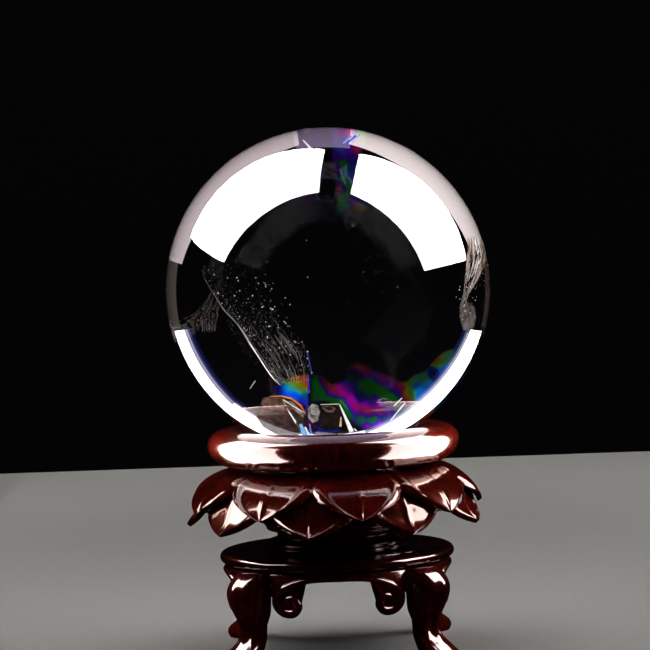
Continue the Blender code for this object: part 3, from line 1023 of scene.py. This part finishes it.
def ring_profile(roll):
    """Dish, roll and flat underside. The dish is a sphere a little larger than the ball; the roll is
    a circle that touches it, with its upper half pressed down to ROLL_RISE times its height; both
    are arcs in the (radius, height) plane."""
    middle = (RING_OUTER - roll, RING_BOTTOM + roll)
    to_middle = math.hypot(middle[0], BALL_CENTRE[2] - middle[1])
    dish = BALL_RADIUS + DISH_GAP
    lean = math.asin(middle[0] / to_middle)
    cosine = (dish**2 + to_middle**2 - roll**2) / (2 * dish * to_middle)
    end = lean - math.acos(min(1.0, cosine))
    angle = np.linspace(0, end, 24)
    floor = np.stack([dish * np.sin(angle), BALL_CENTRE[2] - dish * np.cos(angle)], axis=1)
    start = math.degrees(math.atan2(floor[-1, 1] - middle[1], floor[-1, 0] - middle[0])) % 360
    edge = arc(middle, roll, start, -90, 60)
    rise = edge[:, 1] - middle[1]
    edge[:, 1] = middle[1] + np.where(rise > 0, rise * ROLL_RISE, rise)
    return np.concatenate([floor, edge[1:], [(0, RING_BOTTOM)]])


class QUARTZ_OT_ring(bpy.types.Operator):
    """Adds the rolled ring that the ball rests in"""

    bl_idname = "quartz.ring"
    bl_label = "Ring seat"

    def execute(self, context):
        points, faces = turned(ring_profile(context.scene.lotus_stand.roll_radius), 256)
        material = wood("red_rosewood_under_lacquer", context)
        make_piece("rolled_ring", points, faces, material, "lacquered_rosewood", ["ring_seat"])
        return {"FINISHED"}


# Petals from neck to tip, as radius and height in millimetres: the upper layer droops, the lower
# one flares out again towards its tips
UPPER_PETAL = ((22.0, 46.4), (26.0, 45.7), (30.0, 44.0), (33.0, 41.7), (35.0, 39.0), (36.1, 36.0))
LOWER_PETAL = (
    (22.0, 45.4), (27.0, 44.2), (31.0, 41.6), (33.0, 38.8), (34.0, 36.4), (35.2, 34.3), (36.9, 32.4),
)
# Where a petal's width starts to fall, as a share of its length
SHOULDER = 0.45


def capped(loops):
    """Rows of closed loops as a shell, whose first and last loops are drawn in to their middles."""
    columns = loops.shape[1]
    ends = (loops[:1], loops[-1:])
    first, last = (end.mean(1, keepdims=True).repeat(columns, 1) for end in ends)
    rows = np.concatenate([first, loops, last])
    return rows, grid_faces(len(rows), columns, True)


def petal(middle_angle, half_angle, table, cup, thickness):
    """One petal as a closed shell. v runs from neck to tip along the table's curve, u across it.
    The half width is half_angle times (1 - s^1.7)^0.85, where s is 0 up to the shoulder and 1 at
    the tip. The face is hollowed by cup times (u^2 - 0.4), with a rolled bead near its edge and a
    fine rib down its middle; the back lies under it by a thickness that falls to nothing at the edge."""
    across, along = 41, 52
    u = np.linspace(-1, 1, across)
    v = np.linspace(0, 1, along)[:, None]
    s = np.clip((v - SHOULDER) / (1 - SHOULDER), 0, 1)
    width = half_angle * (1 - s**1.7) ** 0.85
    curve = smooth_rows(np.array(table) * MM, along)
    slope = np.gradient(curve, axis=0)
    slope /= np.linalg.norm(slope, axis=1, keepdims=True)
    outward = np.stack([-slope[:, 1], slope[:, 0]], axis=1)
    rise = np.sin(np.clip(v * 1.25, 0, 1) * math.pi / 2)
    hollow = cup * (u**2 - 0.4) * (1 - 0.5 * s)
    hollow = hollow - 1.1 * MM * np.clip(np.abs(u) - 0.86, 0, 1) ** 2 / 0.02
    bead = 0.55 * MM * np.exp(-(((np.abs(u) - 0.80) / 0.085) ** 2)) * (1 - s**8)
    rib = 0.30 * MM * np.exp(-((u / 0.07) ** 2))
    face = (hollow + bead + rib) * rise
    back = face - thickness * (1 - u**4) * (1 - 0.6 * s) - 0.05 * MM
    angle = middle_angle + width * u

    def placed(offset):
        """The curve moved out along its normal by this much, at each point's angle round Z."""
        radius = curve[:, :1] + outward[:, :1] * offset
        height = curve[:, 1:2] + outward[:, 1:2] * offset
        return np.stack([radius * np.cos(angle), radius * np.sin(angle), height], axis=-1)

    top, bottom = placed(face), placed(back)
    return capped(np.concatenate([top, bottom[:, ::-1]], axis=1))


def collar_core():
    """The round body under the petals: the petals' curve drawn in, then the hollow underside."""
    upper = smooth_rows(LOWER_PETAL, 40)[:26] * MM - np.array([0.9, 0.7]) * MM
    upper[0] = (22.0 * MM, COLLAR_TOP)
    under = np.array([(31.2, 36.4), (28.0, 36.9), (25.5, 36.6), (21.0, 34.4), (19.5, 32.9), (0, 32.9)]) * MM
    return turned(np.concatenate([[(0, COLLAR_TOP)], upper, under]), 180)


class QUARTZ_OT_petals(bpy.types.Operator):
    """Adds the two layers of down-turned lotus petals"""

    bl_idname = "quartz.petals"
    bl_label = "Lotus petals"

    def execute(self, context):
        settings = context.scene.lotus_stand
        pitch = math.tau / settings.petals_per_layer
        thickness = settings.petal_thickness
        parts = [collar_core()]
        for i in range(settings.petals_per_layer):
            parts.append(petal((i + 0.5) * pitch, pitch * 0.5, LOWER_PETAL, 0.5 * MM, thickness))
            parts.append(petal(i * pitch, pitch * 0.52, UPPER_PETAL, 1.0 * MM, thickness))
        points, faces = merged(parts)
        material = wood("red_rosewood_under_lacquer", context)
        make_piece("carved_lotus_collar", points, faces, material, "lacquered_rosewood", ["lotus_collar"])
        return {"FINISHED"}


def waist_profile():
    """Square fillets at both ends, beads beside them and a hollow between, as rows of arcs."""
    fillet = 0.9 * MM
    bead = 0.55 * MM
    low, high = WAIST_BOTTOM, WAIST_TOP
    middle = (low + high) / 2
    hollow = smooth_rows(
        [
            (WAIST_RADIUS - 1.0 * MM, low + fillet + 2 * bead),
            (WAIST_RADIUS - 2.6 * MM, middle - 0.9 * MM),
            (WAIST_RADIUS - 3.2 * MM, middle),
            (WAIST_RADIUS - 2.6 * MM, middle + 0.9 * MM),
            (WAIST_RADIUS - 1.0 * MM, high - fillet - 2 * bead),
        ],
        25,
    )
    rows = [
        [(0, low), (WAIST_RADIUS - 0.15 * MM, low), (WAIST_RADIUS, low + 0.15 * MM)],
        [(WAIST_RADIUS, low + fillet - 0.15 * MM), (WAIST_RADIUS - 0.15 * MM, low + fillet)],
        arc((WAIST_RADIUS - 1.0 * MM, low + fillet + bead), bead, -90, 90, 11),
        hollow[1:-1],
        arc((WAIST_RADIUS - 1.0 * MM, high - fillet - bead), bead, -90, 90, 11),
        [(WAIST_RADIUS - 0.15 * MM, high - fillet), (WAIST_RADIUS, high - fillet + 0.15 * MM)],
        [(WAIST_RADIUS, high - 0.15 * MM), (WAIST_RADIUS - 0.15 * MM, high), (0, high)],
    ]
    return np.concatenate([np.asarray(row, float) for row in rows])


def board_profile():
    """A round board with a half-round nose and a sunk line on its top."""
    half = (BOARD_TOP - BOARD_BOTTOM) / 2
    nose = arc((BOARD_RADIUS - half, BOARD_BOTTOM + half), half, -90, 90, 17)
    line = WAIST_RADIUS + 4.5 * MM
    groove = arc((line, BOARD_TOP), 0.45 * MM, 0, -180, 9)
    return np.concatenate([[(0, BOARD_BOTTOM)], nose, groove, [(0, BOARD_TOP)]])


class QUARTZ_OT_turnings(bpy.types.Operator):
    """Adds the turned waist and the round board"""

    bl_idname = "quartz.turnings"
    bl_label = "Waist and board"

    def execute(self, context):
        # The waist and board take the darker copy of the wood: painted shade for the recess under the
        # petals
        material = wood("dark_shaded_rosewood_under_lacquer", context)
        slot = "dark_lacquered_rosewood"
        make_piece("turned_waist", *turned(waist_profile(), 160), material, slot, ["waist"])
        make_piece("turned_board", *turned(board_profile(), 200), material, slot, ["shoulder_board"])
        return {"FINISHED"}


# Half of an arch edge, from its middle to the curl beside the leg: millimetres along the apron,
# height, and thickness of the raised bead
ARCH_CURL = (
    (0.0, 21.3, 0.62),
    (3.5, 21.3, 0.65),
    (7.0, 21.1, 0.72),
    (10.5, 20.3, 0.84),
    (13.6, 18.9, 1.0),
    (15.4, 17.0, 1.15),
    (15.3, 14.9, 1.2),
    (13.5, 13.4, 1.2),
    (11.2, 13.3, 1.15),
    (9.9, 14.8, 1.05),
    (10.7, 16.5, 0.95),
    (12.4, 16.6, 0.85),
    (12.9, 15.4, 0.8),
)


def on_apron(along, height, radius, middle):
    """Wraps millimetres along the apron and a height round the stand at a radius."""
    angle = middle + np.asarray(along) / radius
    return np.stack([radius * np.cos(angle), radius * np.sin(angle), np.asarray(height)], axis=-1)


def arch_bead(middle):
    """The raised edge of one arch, a tube along it that curls up beside both legs."""
    table = np.array(ARCH_CURL) * MM
    half = smooth_rows(table, 110)
    mirrored = half[:0:-1] * [-1, 1, 1]
    both = np.concatenate([mirrored, half])
    path = on_apron(both[:, 0], both[:, 1], APRON_RADIUS - 0.1 * MM, middle)
    return tube(path, both[:, 2], 14)


def apron_band():
    """The band behind the beads, all round the stand. Its lower edge is level under each arch and
    falls into a lobe beside each leg; the section is a rounded board 3.6 mm thick."""
    columns = 720
    angle = np.linspace(0, math.tau, columns, endpoint=False)
    away = np.abs((angle + math.pi / 4) % (math.pi / 2) - math.pi / 4) * APRON_RADIUS / MM
    level = ARCH_Z / MM + 0.1
    low = np.interp(
        away,
        [0, 8.5, 9.6, 10.6, 12.6, 14.6, 16.2, 17.5, 22.0],
        [level, level, 17.6, 14.6, 13.4, 13.8, 16.2, 16.9, 16.9],
    )
    low = low * MM
    thickness, round_off = 3.6 * MM, 0.5 * MM
    outer, inner = APRON_RADIUS, APRON_RADIUS - thickness
    radii = [inner, outer - round_off, outer, outer, outer - round_off, inner]
    lifts = [0, 0, -round_off, round_off, 0, 0]
    rows = []
    for i, (radius, lift) in enumerate(zip(radii, lifts)):
        height = (APRON_TOP + lift) * np.ones(columns) if i < 3 else low + lift
        rows.append(np.stack([radius * np.cos(angle), radius * np.sin(angle), height], axis=-1))
    rows.append(rows[0])
    points = np.stack(rows)
    return points, grid_faces(len(rows), columns, True)


# Leg sections from top to foot, in millimetres: middle radius, height, half depth, half width
LEG_SECTIONS = (
    (27.8, APRON_TOP / MM, 4.0, 4.3),
    (29.3, 21.2, 4.6, 4.3),
    (30.6, 19.0, 5.0, 4.3),
    (30.9, 16.5, 4.6, 4.3),
    (30.3, 13.8, 3.9, 4.0),
    (29.5, 11.0, 3.2, 3.5),
    (29.2, 8.5, 2.9, 3.2),
    (29.9, 6.2, 3.3, 3.4),
    (31.8, 4.2, 4.3, 3.8),
    (33.4, 2.6, 5.0, 4.1),
    (33.8, 1.2, 5.0, 4.2),
    (33.8, 0.0, 4.4, 3.8),
)


def leg_surface(middle):
    """A cabriole leg: rounded, slightly squared sections on a smooth S curve, with a raised spine
    down the front and a hollow on each side of it."""
    rows, sides = 72, 48
    table = smooth_rows(np.array(LEG_SECTIONS) * MM, rows)
    table[:, 1] = np.clip(table[:, 1], 0, APRON_TOP)
    angle = np.linspace(0, math.tau, sides, endpoint=False)
    cosine, sine = np.cos(angle), np.sin(angle)
    squared = (np.abs(cosine) ** 2.5 + np.abs(sine) ** 2.5) ** (-1 / 2.5)
    front = np.clip(cosine, 0, 1)
    spine = 0.5 * MM * np.exp(-((sine / 0.14) ** 2)) * front
    hollow = 0.35 * MM * np.exp(-(((np.abs(sine) - 0.42) / 0.16) ** 2)) * front
    fade = np.sin(np.linspace(0, math.pi, rows))[:, None] ** 0.5
    out = table[:, :1] + table[:, 2:3] * cosine * squared + (spine - hollow) * fade
    side = table[:, 3:4] * sine * squared
    height = np.repeat(table[:, 1:2], sides, axis=1)
    x = math.cos(middle) * out - math.sin(middle) * side
    y = math.sin(middle) * out + math.cos(middle) * side
    return capped(np.stack([x, y, height], axis=-1))


# Angle round Z, in degrees, of each leg and each apron's middle
LEG_ANGLES = {"back_right": 45, "back_left": 135, "front_left": 225, "front_right": 315}
APRON_ANGLES = {"right": 0, "back": 90, "left": 180, "front": 270}


class QUARTZ_OT_legs(bpy.types.Operator):
    """Adds the cabriole legs, the apron band and the curled arch edges"""

    bl_idname = "quartz.legs"
    bl_label = "Legs and aprons"

    def execute(self, context):
        material = wood("red_rosewood_under_lacquer", context)
        slot = "lacquered_rosewood"
        rails = ["apron_" + side for side in APRON_ANGLES]
        make_piece("apron_band", *apron_band(), material, slot, rails)
        for side, degrees in APRON_ANGLES.items():
            make_piece("arch_scroll_" + side, *arch_bead(math.radians(degrees)), material, slot)
        for corner, degrees in LEG_ANGLES.items():
            points, faces = leg_surface(math.radians(degrees))
            make_piece("carved_leg_" + corner, points, faces, material, slot, ["leg_" + corner])
        return {"FINISHED"}


# The stage

# The two soft boxes, placed by their mirror images in the ball: middle, directions of the two sides,
# and size
BOXES = {
    "left": ((-0.160, 0.035, 0.325), ((-0.305, 0.048, -0.250), (0.086, 0.989, 0.085)), (0.40, 0.285)),
    "right": ((0.2145, 0.005, 0.292), ((0.239, 0.0, -0.294), (0.0, 1.0, 0.0)), (0.38, 0.275)),
}
# Light seen only through the crystal: the boxes' far parts, which show along the ball's lower edge,
# and the glow from below along its upper edge. Angle round Y of the middle, half the angle covered,
# distance, nearest and farthest place along Y, share of the boxes' glare, and colour
RIM_LIGHTS = (
    (30.2, 17.6, 0.30, 0.13, 0.246, 0.17, "#FFFFFF"),
    (30.2, 17.6, 0.30, 0.246, 0.278, 0.022, "#DCD2F2"),
    (30.2, 17.6, 0.30, 0.278, 0.296, 0.005, "#8A90FF"),
    (30.2, 17.6, 0.30, 0.296, 0.320, 0.0015, "#5A68FF"),
    (64.9, 17.1, 0.30, 0.13, 0.272, 0.17, "#FFFFFF"),
    (64.9, 17.1, 0.30, 0.272, 0.290, 0.014, "#D0CCFF"),
    (64.9, 17.1, 0.30, 0.290, 0.320, 0.0018, "#6A74FF"),
    (132.7, 30.7, 0.30, 0.13, 0.280, 0.17, "#FFFFFF"),
    (132.7, 30.7, 0.30, 0.280, 0.304, 0.022, "#E4E4FF"),
    (132.7, 30.7, 0.30, 0.304, 0.322, 0.007, "#A8BCFF"),
    (132.7, 30.7, 0.30, 0.322, 0.350, 0.0016, "#5A78FF"),
    (92.0, 11.0, 0.30, 0.13, 0.285, 0.070, "#DCD2F4"),
    (227.5, 32.5, 0.20, 0.045, 0.205, 0.036, "#FFF0EC"),
    (313.0, 34.0, 0.20, 0.045, 0.205, 0.025, "#F6E4E6"),
    (270.0, 10.5, 0.20, 0.045, 0.205, 0.010, "#D2BCE8"),
    (358.5, 13.0, 0.20, 0.045, 0.155, 0.0033, "#F0D8D0"),
    (180.0, 15.0, 0.20, 0.045, 0.110, 0.0028, "#E8C0B0"),
)
# Upright side boxes that light only one piece of the stand: a low pair that the ring's roll mirrors
# wide and white, a pair farther back that brings out the red of its ends, and a pair that the
# petals at the sides mirror. Piece, middle, height and depth, kind of ray, share of the boxes'
# glare, and colour
SIDE_BOXES = {
    "left_ring_glare": ("ring", (-0.25, -0.015, -0.05), (0.50, 0.37), "glossy", 0.9, "#FFF4EE"),
    "right_ring_glare": ("ring", (0.25, -0.010, -0.05), (0.50, 0.38), "glossy", 0.9, "#FFF4EE"),
    "left_ring_glow": ("ring", (-0.20, 0.13, 0.12), (0.18, 0.20), "diffuse", 2.0, "#FFDCC8"),
    "right_ring_glow": ("ring", (0.20, 0.13, 0.12), (0.18, 0.20), "diffuse", 2.0, "#FFDCC8"),
    "left_petal_glare": ("petals", (-0.25, -0.02, 0.10), (0.34, 0.16), "glossy", 0.8, "#FFF0E8"),
    "right_petal_glare": ("petals", (0.25, -0.02, 0.10), (0.34, 0.16), "glossy", 0.8, "#FFF0E8"),
}
# Where the floor ends behind the ball
FLOOR_BACK = 0.485


def soft_box(name, middle, axes, size, radiance, seen, colour="#FFFFFF", group=None):
    """A rectangle of light whose sides run along the two axes, facing the ball. It is seen only by
    the named kind of ray, glossy, transmission or diffuse, and lights only the group's pieces."""
    light = bpy.data.lights.new(name, "AREA")
    light.shape = "RECTANGLE"
    light.size, light.size_y = size
    light.color = linear(colour)
    light.energy = radiance * math.pi * size[0] * size[1]
    box = bpy.data.objects.new(name, light)
    down, across = (Vector(axis).normalized() for axis in axes)
    place = Vector(middle)
    facing = down.cross(across).normalized()
    if facing.dot(Vector(BALL_CENTRE) - place) < 0:
        across, facing = -across, -facing
    box.matrix_world = Matrix.Translation(place) @ Matrix((down, -across, -facing)).transposed().to_4x4()
    box.visible_camera = False
    box.visible_diffuse = seen == "diffuse"
    box.visible_glossy = seen == "glossy"
    box.visible_transmission = seen == "transmission"
    bpy.context.scene.collection.objects.link(box)
    if group is not None:
        box.light_linking.receiver_collection = group


def rim_light(name, glare, angle, half, distance, near, far, share, colour):
    """A rectangle along Y that touches the circle of this distance round the ball's axis along Y."""
    turn = math.radians(angle)
    middle = (distance * math.cos(turn), (near + far) / 2, BALL_CENTRE[2] + distance * math.sin(turn))
    axes = ((-math.sin(turn), 0, math.cos(turn)), (0, 1, 0))
    size = (2 * distance * math.tan(math.radians(half)), far - near)
    soft_box(name, middle, axes, size, share * glare, "transmission", colour)


def light_groups():
    """Collections of the pieces that a light may reach: the ring alone, the petals alone, or all
    but the petals."""
    ring, petals = bpy.data.objects["rolled_ring"], bpy.data.objects["carved_lotus_collar"]
    groups = {}
    for name, piece in {"ring": ring, "petals": petals, "not_petals": petals}.items():
        groups[name] = bpy.data.collections.new(name)
        groups[name].objects.link(piece)
    groups["not_petals"].collection_objects[0].light_linking.link_state = "EXCLUDE"
    return groups


def add_lights(glare, fill):
    """Adds every light of the stage. A soft box is three lights in one place: the glare that
    polished faces mirror, a fainter one seen through the crystal, and the light it casts."""
    groups = light_groups()
    for side, (middle, axes, size) in BOXES.items():
        soft_box(side + "_glare_box", middle, axes, size, glare, "glossy", group=groups["not_petals"])
        soft_box(side + "_inner_box", middle, axes, size, glare * 0.1, "transmission")
        soft_box(side + "_light_box", middle, axes, size, fill, "diffuse")
    upright = ((0, 0, 1), (0, 1, 0))
    for name, (group, middle, size, seen, share, colour) in SIDE_BOXES.items():
        soft_box(name, middle, upright, size, share * glare, seen, colour, groups[group])
    for number, values in enumerate(RIM_LIGHTS, 1):
        rim_light("rim_light_%d" % number, glare, *values)


def add_camera(scene):
    """Adds the photograph's camera, whose lens gives FOCAL_PIXELS over the whole image."""
    camera = bpy.data.cameras.new("photo_camera")
    camera.sensor_width = SENSOR_MM
    camera.lens = SENSOR_MM * FOCAL_PIXELS / (2 * IMAGE_MIDDLE)
    viewer = bpy.data.objects.new("photo_camera", camera)
    viewer.matrix_world = Matrix.Translation(CAMERA_PLACE) @ CAMERA_TURN.to_4x4()
    scene.collection.objects.link(viewer)
    scene.camera = viewer


def dark_room(scene):
    """A dark neutral room: nearly black, a little lighter overhead."""
    world = bpy.data.worlds.new("dark_room")
    world.use_nodes = True
    tree = world.node_tree
    tree.nodes.clear()
    direction = add(tree, "TexCoord").outputs["Generated"]
    split = add(tree, "SeparateXYZ", {"Vector": direction})
    height = add(tree, "MapRange", {"Value": split.outputs["Z"], "From Min": -1.0, "From Max": 1.0})
    stops = [(0.0, linear("#020203")), (0.5, linear("#040405")), (1.0, linear("#0A0A0C"))]
    shade = ramp(tree, height.outputs["Result"], stops)
    background = add(tree, "Background", {"Color": shade, "Strength": 1.0})
    add(tree, "OutputWorld", {"Surface": background.outputs["Background"]})
    scene.world = world


def make_floor(colour):
    """A flat pale board, 12 mm thick, that ends at FLOOR_BACK behind the ball."""
    x = np.array([-2.5, 2.5, 2.5, -2.5])
    y = np.array([-2.5, -2.5, FLOOR_BACK, FLOOR_BACK])
    under = np.stack([x, y, np.full(4, -0.012)], axis=1)
    top = np.stack([x, y, np.zeros(4)], axis=1)
    faces = [(3, 2, 1, 0), (4, 5, 6, 7), (0, 1, 5, 4), (1, 2, 6, 5), (2, 3, 7, 6), (3, 0, 4, 7)]
    mesh = bpy.data.meshes.new("pale_floor")
    mesh.from_pydata(np.concatenate([under, top]), [], faces)
    mesh.materials.append(floor_paper(colour))
    floor = bpy.data.objects.new("pale_floor", mesh)
    floor.visible_transmission = False
    floor.visible_glossy = False
    bpy.context.scene.collection.objects.link(floor)


class QUARTZ_OT_stage(bpy.types.Operator):
    """Adds the pale floor, the soft boxes, the dark room and the camera"""

    bl_idname = "quartz.stage"
    bl_label = "Stage"

    def execute(self, context):
        scene = context.scene
        settings = scene.quartz_stage
        make_floor(tuple(settings.floor_colour))
        add_lights(settings.box_radiance, settings.fill_radiance)
        dark_room(scene)
        add_camera(scene)
        scene.view_settings.view_transform = "Standard"
        return {"FINISHED"}


class QUARTZ_PT_panel(bpy.types.Panel):
    """Lists the pieces in the 3D view's sidebar"""

    bl_label = "Quartz Sphere"
    bl_space_type = "VIEW_3D"
    bl_region_type = "UI"
    bl_category = "Quartz Sphere"

    def draw(self, context):
        scene = context.scene
        for group in (scene.quartz_sphere, scene.lotus_stand, scene.quartz_stage):
            for name in group.__annotations__:
                self.layout.prop(group, name)
        for operator in OPERATORS:
            self.layout.operator(operator.bl_idname)


OPERATORS = (
    QUARTZ_OT_ball,
    QUARTZ_OT_veil,
    QUARTZ_OT_cracks,
    QUARTZ_OT_rainbow,
    QUARTZ_OT_ring,
    QUARTZ_OT_petals,
    QUARTZ_OT_turnings,
    QUARTZ_OT_legs,
    QUARTZ_OT_stage,
)
GROUPS = {
    "quartz_sphere": QuartzSphereSettings,
    "lotus_stand": LotusStandSettings,
    "quartz_stage": StageSettings,
}


def register():
    """Registers the classes and gives every scene the three groups of settings."""
    for kind in (*GROUPS.values(), *OPERATORS, QUARTZ_PT_panel):
        bpy.utils.register_class(kind)
    for name, group in GROUPS.items():
        setattr(bpy.types.Scene, name, bpy.props.PointerProperty(type=group))


def unregister():
    """Undoes what register does, in the opposite order."""
    for name in GROUPS:
        delattr(bpy.types.Scene, name)
    for kind in (QUARTZ_PT_panel, *reversed(OPERATORS), *reversed(list(GROUPS.values()))):
        bpy.utils.unregister_class(kind)


def main():
    """Builds the pieces and the stage."""
    register()
    bpy.ops.quartz.ball()
    bpy.ops.quartz.veil()
    bpy.ops.quartz.cracks()
    bpy.ops.quartz.rainbow()
    bpy.ops.quartz.ring()
    bpy.ops.quartz.petals()
    bpy.ops.quartz.turnings()
    bpy.ops.quartz.legs()
    bpy.ops.quartz.stage()


if __name__ == "__main__":
    main()
